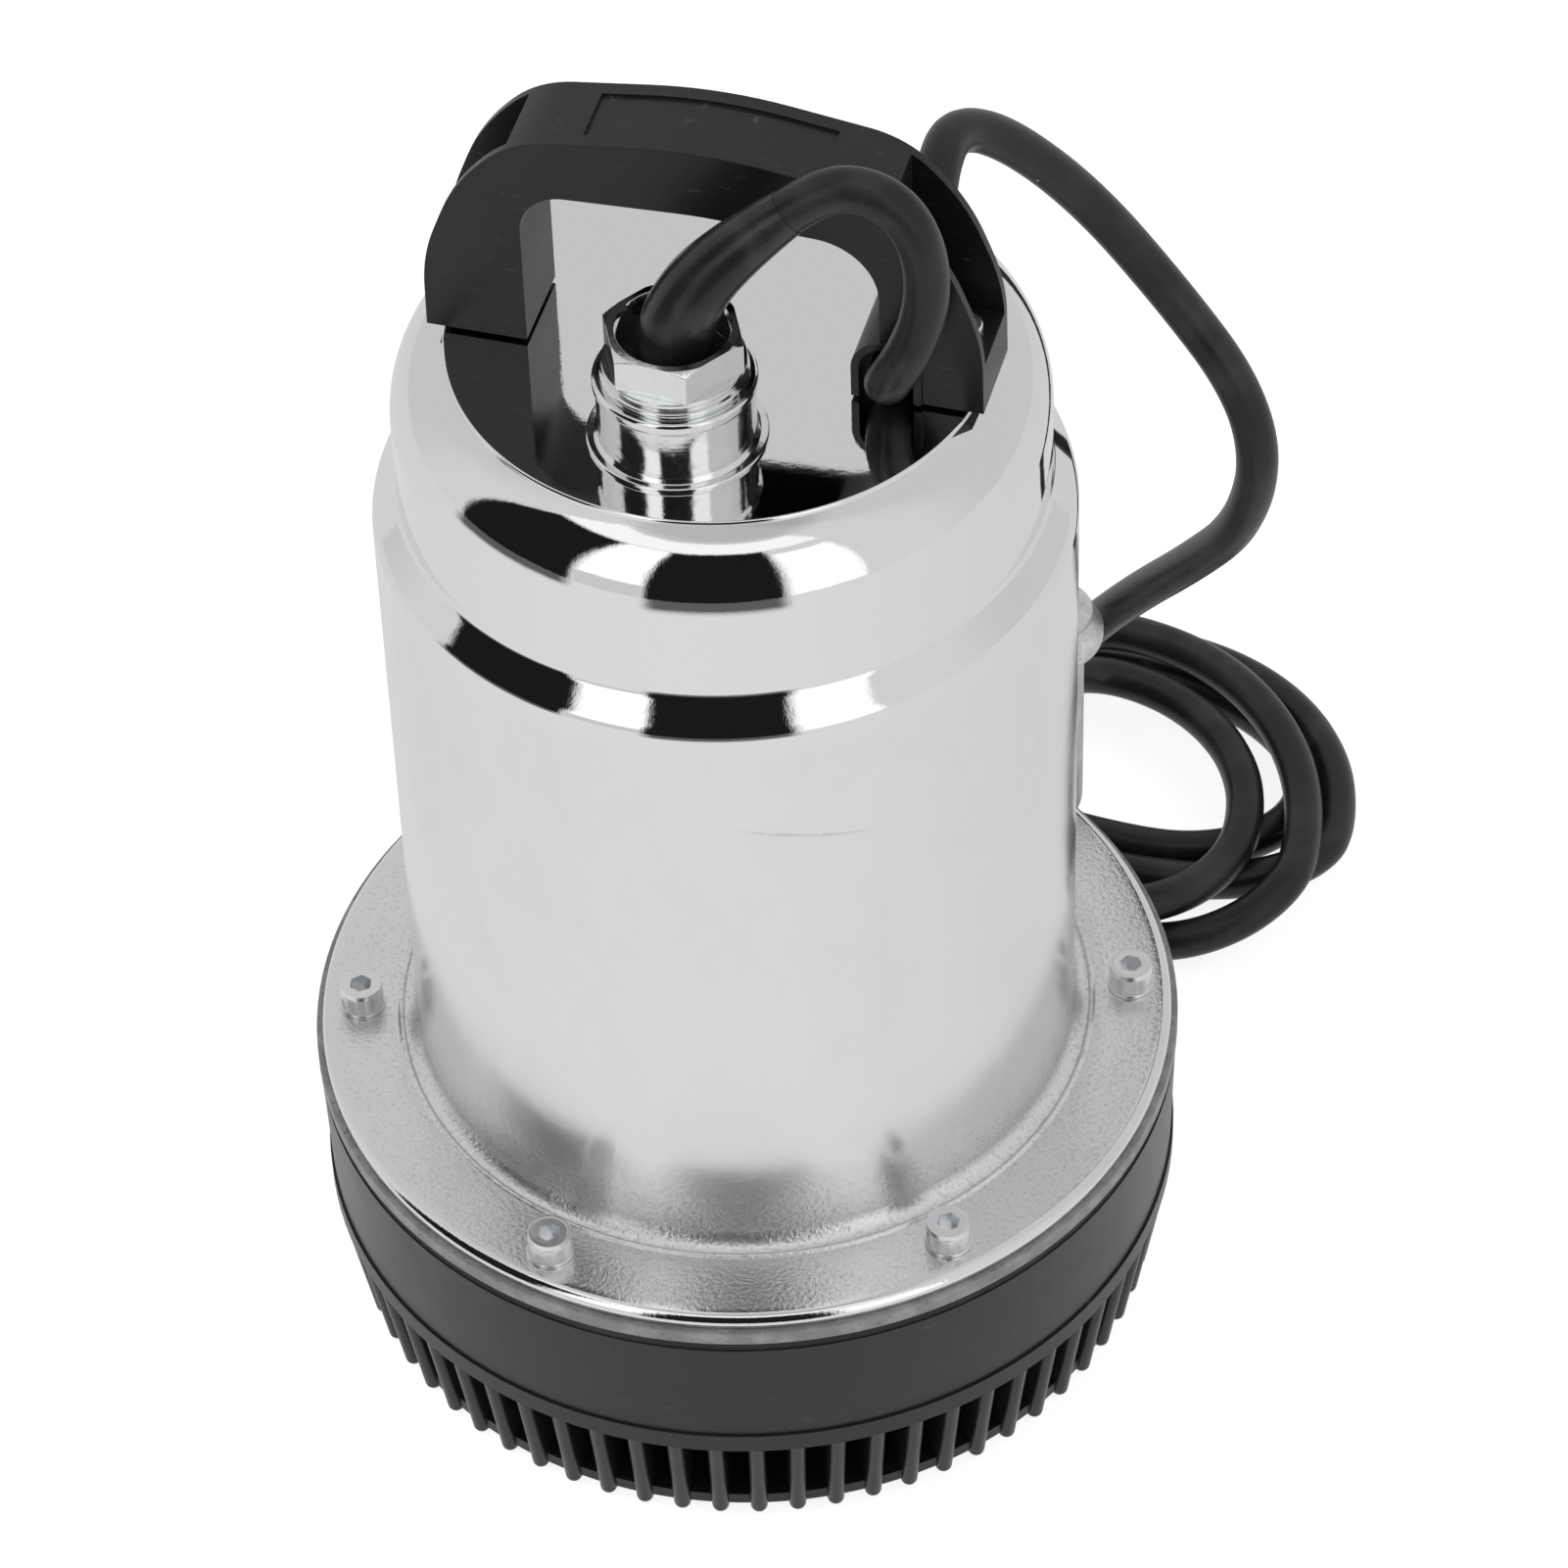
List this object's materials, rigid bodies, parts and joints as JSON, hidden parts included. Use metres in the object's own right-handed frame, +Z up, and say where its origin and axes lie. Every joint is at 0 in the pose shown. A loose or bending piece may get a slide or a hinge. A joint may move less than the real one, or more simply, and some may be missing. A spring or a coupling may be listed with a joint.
{
  "type": "submersible pump",
  "caption": "Submersible sump pump: polished steel motor can with carrying handle and cable gland, bolted to a pump chamber on a slotted strainer base, with a barbed outlet and coiled cable.",
  "frame": {"origin": "on the floor under the pump's axis, at the centre of the strainer's underside", "axes": "+Z up along the motor shaft, X along the carrying handle with the cable tunnel at +X, -Y towards the cable gland"},
  "size_m": [0.1912, 0.2757, 0.297],
  "materials": {
    "polished_steel": "mirror polished",
    "gland_steel": "turned and polished",
    "zinc_steel": "bright zinc",
    "shaft_steel": "ground",
    "bearing_steel": "ground",
    "cast_grey": "as cast",
    "black_plastic": "satin",
    "impeller_plastic": "satin",
    "motor_iron": "bare",
    "shield_aluminium": "die cast",
    "copper": "drawn",
    "brush_carbon": "matt",
    "brush_board": "matt",
    "spring_steel": "drawn wire",
    "seal_rubber": "matt",
    "seal_ceramic": "lapped",
    "insert_brass": "turned",
    "cable_rubber": "satin",
    "lead_positive": "satin",
    "lead_negative": "satin",
    "terminal_tin": "tin plated"
  },
  "bodies": {
    "pump": {"brush_holder": "brush_board", "brush_left": "brush_carbon", "brush_right": "brush_carbon", "brush_spring_left": "spring_steel", "brush_spring_right": "spring_steel", "chamber_plate": "cast_grey", "cord_breakout": "cable_rubber", "cord_coil": "cable_rubber", "cord_tail": "cable_rubber", "discharge_oring": "seal_rubber", "discharge_pipe": "cast_grey", "field_magnets": "motor_iron", "flange_gasket": "seal_rubber", "flange_oring": "seal_rubber", "flange_screws": "zinc_steel", "flange_washers": "zinc_steel", "gland_boss": "polished_steel", "gland_collar": "gland_steel", "gland_grommet": "seal_rubber", "gland_nut": "gland_steel", "handle": "black_plastic", "handle_screws": "zinc_steel", "handle_weld_nuts": "zinc_steel", "internal_leads": "copper", "lead_negative": "lead_negative", "lead_positive": "lead_positive", "lower_bearing_outer_race": "bearing_steel", "lower_end_shield": "shield_aluminium", "motor_shell": "polished_steel", "motor_yoke": "motor_iron", "power_cord": "cable_rubber", "ring_terminal_negative": "terminal_tin", "ring_terminal_positive": "terminal_tin", "seal_seat": "seal_ceramic", "strain_relief_boot": "cable_rubber", "strainer_basket": "black_plastic", "strainer_screws": "zinc_steel", "thread_inserts": "insert_brass", "tie_bolts": "zinc_steel", "upper_bearing_outer_race": "bearing_steel", "upper_end_shield": "shield_aluminium", "volute_housing": "black_plastic"},
    "rotor": {"motor_shaft": "shaft_steel", "impeller": "impeller_plastic", "impeller_key": "shaft_steel", "impeller_nut": "shaft_steel", "seal_head": "seal_ceramic", "lower_bearing_inner_race": "bearing_steel", "upper_bearing_inner_race": "bearing_steel", "armature_core": "motor_iron", "armature_winding": "copper", "commutator": "copper"},
    "lower_cage": {"lower_bearing_balls": "bearing_steel", "lower_bearing_cage": "bearing_steel"},
    "upper_cage": {"upper_bearing_balls": "bearing_steel", "upper_bearing_cage": "bearing_steel"}
  },
  "joints": [
    {"name": "rotor_spin", "type": "hinge", "parent": "pump", "child": "rotor", "pos_m": [0, 0, 0.12], "axis": [0, 0, 1], "continuous": true},
    {"name": "lower_cage_orbit", "type": "hinge", "parent": "pump", "child": "lower_cage", "pos_m": [0, 0, 0.076], "axis": [0, 0, 1], "continuous": true},
    {"name": "upper_cage_orbit", "type": "hinge", "parent": "pump", "child": "upper_cage", "pos_m": [0, 0, 0.1985], "axis": [0, 0, 1], "continuous": true}
  ],
  "couplings": [
    {"joint": "lower_cage_orbit", "follows": "rotor_spin", "ratio": 0.37556},
    {"joint": "upper_cage_orbit", "follows": "rotor_spin", "ratio": 0.36933}
  ]
}
